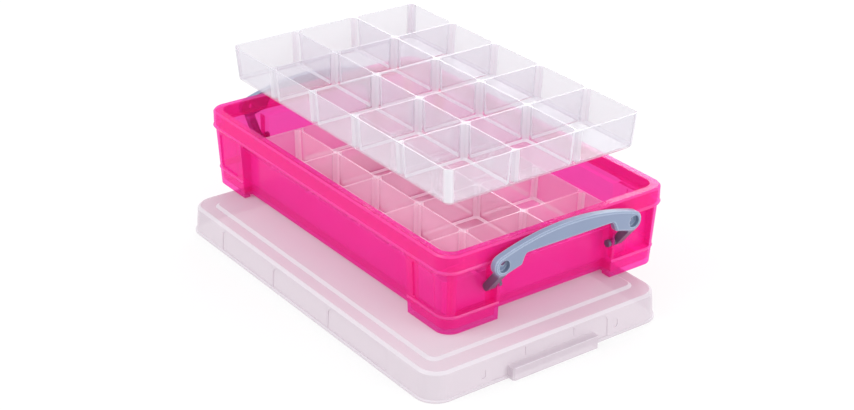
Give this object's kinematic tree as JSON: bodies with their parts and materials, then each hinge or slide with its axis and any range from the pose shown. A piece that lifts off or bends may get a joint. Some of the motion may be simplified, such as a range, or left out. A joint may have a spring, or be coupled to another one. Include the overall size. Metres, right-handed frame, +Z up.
{
  "type": "clip-lid storage box with divided trays",
  "caption": "Shallow translucent storage box with swinging carry handles, a separate lift-off lid and two lift-out trays divided into small square cells.",
  "frame": {"origin": "on the ground, under the middle of the bounding box of the lid, box, handles and trays as shown", "axes": "+X along the box towards its front handle, +Y across the box, +Z up; the lid lies nearer to +X and -Y"},
  "size_m": [0.4354, 0.285, 0.1688],
  "materials": {
    "pink_plastic": "translucent hot-pink polypropylene, lightly glossy",
    "clear_plastic": "clear, slightly milky polypropylene",
    "handle_plastic": "blue-grey moulded polypropylene, satin gloss"
  },
  "bodies": {
    "lid": {"lid": "clear_plastic"},
    "box": {"storage_box": "pink_plastic"},
    "front_handle": {"front_handle": "handle_plastic"},
    "rear_handle": {"rear_handle": "handle_plastic"},
    "lower_tray": {"lower_tray": "clear_plastic"},
    "upper_tray": {"upper_tray": "clear_plastic"}
  },
  "joints": [
    {"name": "box_lift", "type": "slide", "parent": "lid", "child": "box", "axis": [0, 0, 1], "range_m": [0, 0.12]},
    {"name": "lower_tray_lift", "type": "slide", "parent": "box", "child": "lower_tray", "axis": [0, 0, 1], "range_m": [0, 0.1]},
    {"name": "upper_tray_drop", "type": "slide", "parent": "lower_tray", "child": "upper_tray", "axis": [0, 0, 1], "range_m": [-0.068, 0.04]},
    {"name": "front_handle_swing", "type": "hinge", "parent": "box", "child": "front_handle", "pos_m": [0.16605, 0.02065, 0.0615], "axis": [0, 1, 0], "range_deg": [-4, 100]},
    {"name": "rear_handle_swing", "type": "hinge", "parent": "box", "child": "rear_handle", "pos_m": [-0.19755, 0.02065, 0.0615], "axis": [0, -1, 0], "range_deg": [-4, 100]}
  ]
}
